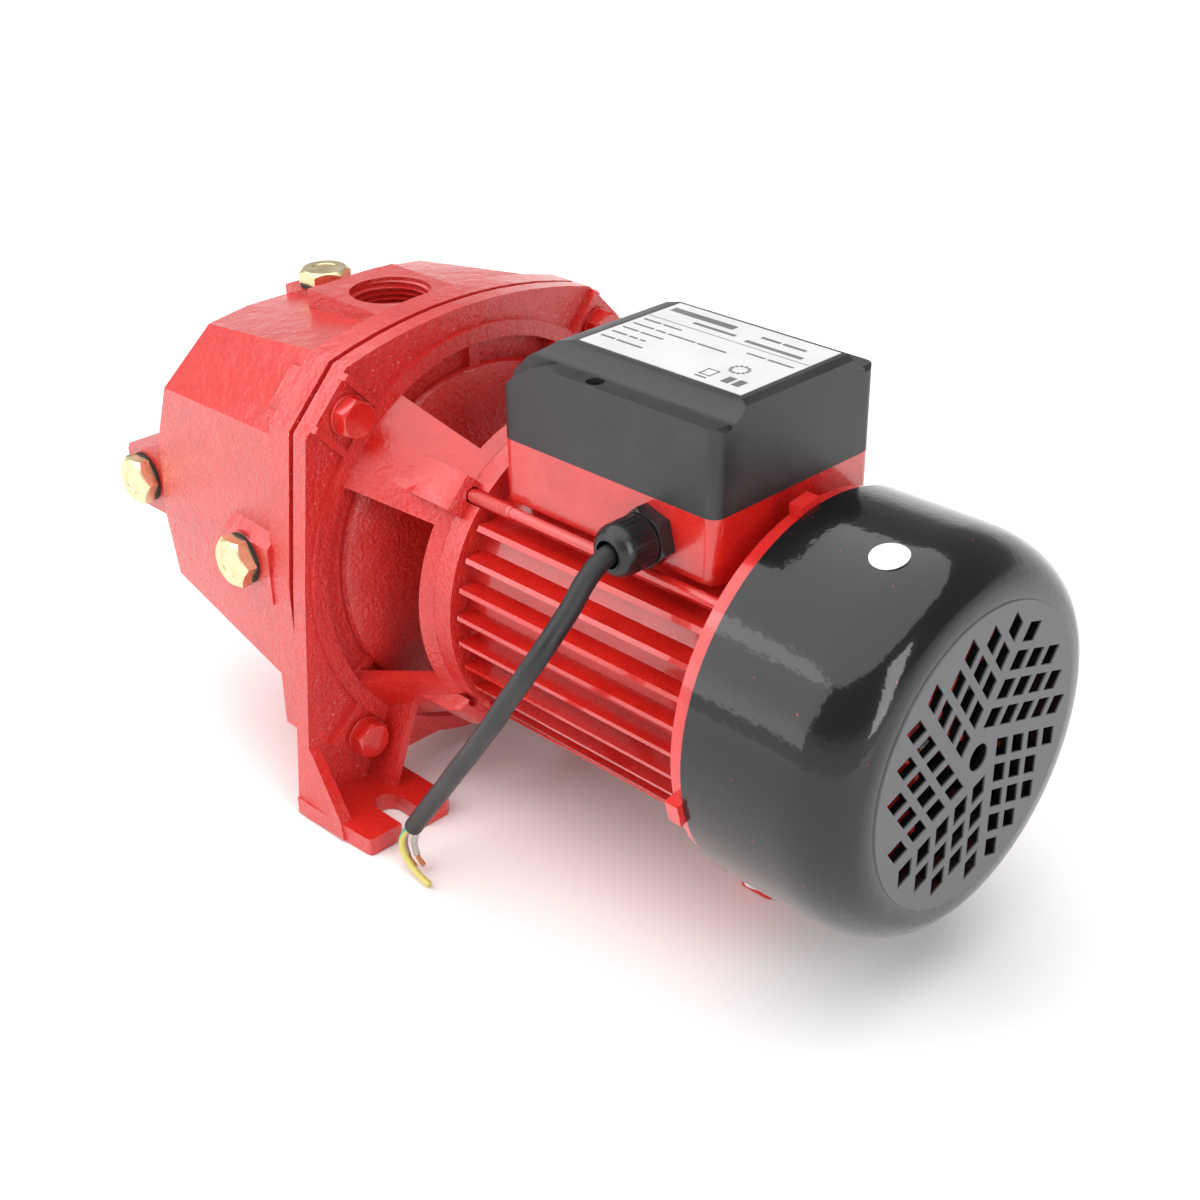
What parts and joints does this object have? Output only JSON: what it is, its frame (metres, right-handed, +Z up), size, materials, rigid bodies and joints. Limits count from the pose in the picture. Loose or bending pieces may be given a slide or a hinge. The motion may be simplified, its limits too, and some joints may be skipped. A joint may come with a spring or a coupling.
{
  "type": "centrifugal water pump",
  "caption": "Self-priming water pump: box-shaped cast pump casing on a windowed bracket, finned motor with terminal box, vented fan cover and supply cable.",
  "frame": {"origin": "on the ground, under the middle of the pump's length and width, cable not counted", "axes": "+X along the shaft towards the fan, +Z up along the outlet port; the cable gland faces -Y"},
  "size_m": [0.3788, 0.1992, 0.206],
  "materials": {
    "cast_enamel": "gloss enamel over a sand casting",
    "gloss_enamel": "gloss enamel",
    "shadow_enamel": "gloss enamel",
    "fan_plastic": "satin",
    "cover_enamel": "gloss enamel with orange peel",
    "lid_plastic": "satin",
    "gland_nylon": "satin",
    "brass": "machined",
    "cast_brass": "cast",
    "steel": "machined",
    "lamination": "stamped sheets",
    "copper_wire": "varnished wire",
    "moulded_ivory": "moulded",
    "capacitor_white": "satin",
    "ceramic": "lapped",
    "rubber": "matt",
    "cable_rubber": "matt",
    "wire_green": "satin",
    "wire_brown": "satin",
    "wire_grey": "satin",
    "label_film": "satin film",
    "sticker_film": "satin film"
  },
  "bodies": {
    "pump": {"pump_casing": "cast_enamel", "casing_gasket": "gloss_enamel", "motor_bracket": "cast_enamel", "casing_bolts": "gloss_enamel", "bolt_washers": "gloss_enamel", "diffuser": "moulded_ivory", "ejector_nozzle": "moulded_ivory", "seal_seat": "ceramic", "stator_core": "lamination", "stator_winding": "copper_wire", "front_bearing_outer": "steel", "rear_bearing_outer": "steel", "wave_spring": "steel", "motor_housing": "gloss_enamel", "rear_shield": "shadow_enamel", "tie_rods": "gloss_enamel", "fan_cover": "cover_enamel", "cover_screws": "steel", "rear_foot": "shadow_enamel", "terminal_lid": "lid_plastic", "lid_gasket": "rubber", "lid_screws": "steel", "nameplate": "label_film", "round_sticker": "sticker_film", "terminal_block": "moulded_ivory", "terminal_screws": "brass", "capacitor": "capacitor_white", "capacitor_clip": "steel", "gland_body": "gland_nylon", "gland_nut": "gland_nylon", "gland_seal": "rubber", "power_cable": "cable_rubber", "earth_wire": "wire_green", "live_wire": "wire_brown", "neutral_wire": "wire_grey"},
    "rotor": {"shaft": "steel", "rotor_core": "lamination", "impeller": "cast_brass", "impeller_nut": "steel", "impeller_key": "steel", "seal_rotating": "rubber", "seal_spring": "steel", "slinger": "rubber", "front_bearing_inner": "steel", "rear_bearing_inner": "steel", "fan": "fan_plastic"},
    "front_balls": {"front_bearing_balls": "steel"},
    "rear_balls": {"rear_bearing_balls": "steel"},
    "priming_washer": {"priming_plug_seal": "rubber"},
    "priming_screw": {"priming_plug": "brass"},
    "side_washer": {"side_plug_seal": "rubber"},
    "side_screw": {"side_plug": "brass"},
    "front_washer": {"front_plug_seal": "rubber"},
    "front_screw": {"front_plug": "brass"}
  },
  "joints": [
    {"name": "rotor_spin", "type": "hinge", "parent": "pump", "child": "rotor", "pos_m": [0, 0, 0.095], "axis": [1, 0, 0], "continuous": true},
    {"name": "front_balls_orbit", "type": "hinge", "parent": "pump", "child": "front_balls", "pos_m": [0, 0, 0.095], "axis": [1, 0, 0], "continuous": true},
    {"name": "rear_balls_orbit", "type": "hinge", "parent": "pump", "child": "rear_balls", "pos_m": [0, 0, 0.095], "axis": [1, 0, 0], "continuous": true},
    {"name": "priming_plug_rise", "type": "slide", "parent": "pump", "child": "priming_washer", "axis": [0, 0, 1], "range_m": [0, 0.01337]},
    {"name": "priming_plug_turn", "type": "hinge", "parent": "priming_washer", "child": "priming_screw", "pos_m": [-0.1484, 0, 0.1785], "axis": [0, 0, 1], "range_deg": [0, 3600]},
    {"name": "side_plug_rise", "type": "slide", "parent": "pump", "child": "side_washer", "axis": [0, -1, 0], "range_m": [0, 0.01337]},
    {"name": "side_plug_turn", "type": "hinge", "parent": "side_washer", "child": "side_screw", "pos_m": [-0.0914, -0.0915, 0.1025], "axis": [0, -1, 0], "range_deg": [0, 3600]},
    {"name": "front_plug_rise", "type": "slide", "parent": "pump", "child": "front_washer", "axis": [0, -1, 0], "range_m": [0, 0.01337]},
    {"name": "front_plug_turn", "type": "hinge", "parent": "front_washer", "child": "front_screw", "pos_m": [-0.1746, -0.082, 0.108], "axis": [0, -1, 0], "range_deg": [0, 3600]}
  ],
  "couplings": [
    {"joint": "front_balls_orbit", "follows": "rotor_spin", "ratio": 0.384},
    {"joint": "rear_balls_orbit", "follows": "rotor_spin", "ratio": 0.384},
    {"joint": "priming_plug_turn", "follows": "priming_plug_rise", "rad_per_m": 4699.2},
    {"joint": "side_plug_turn", "follows": "side_plug_rise", "rad_per_m": 4699.2},
    {"joint": "front_plug_turn", "follows": "front_plug_rise", "rad_per_m": 4699.2}
  ]
}
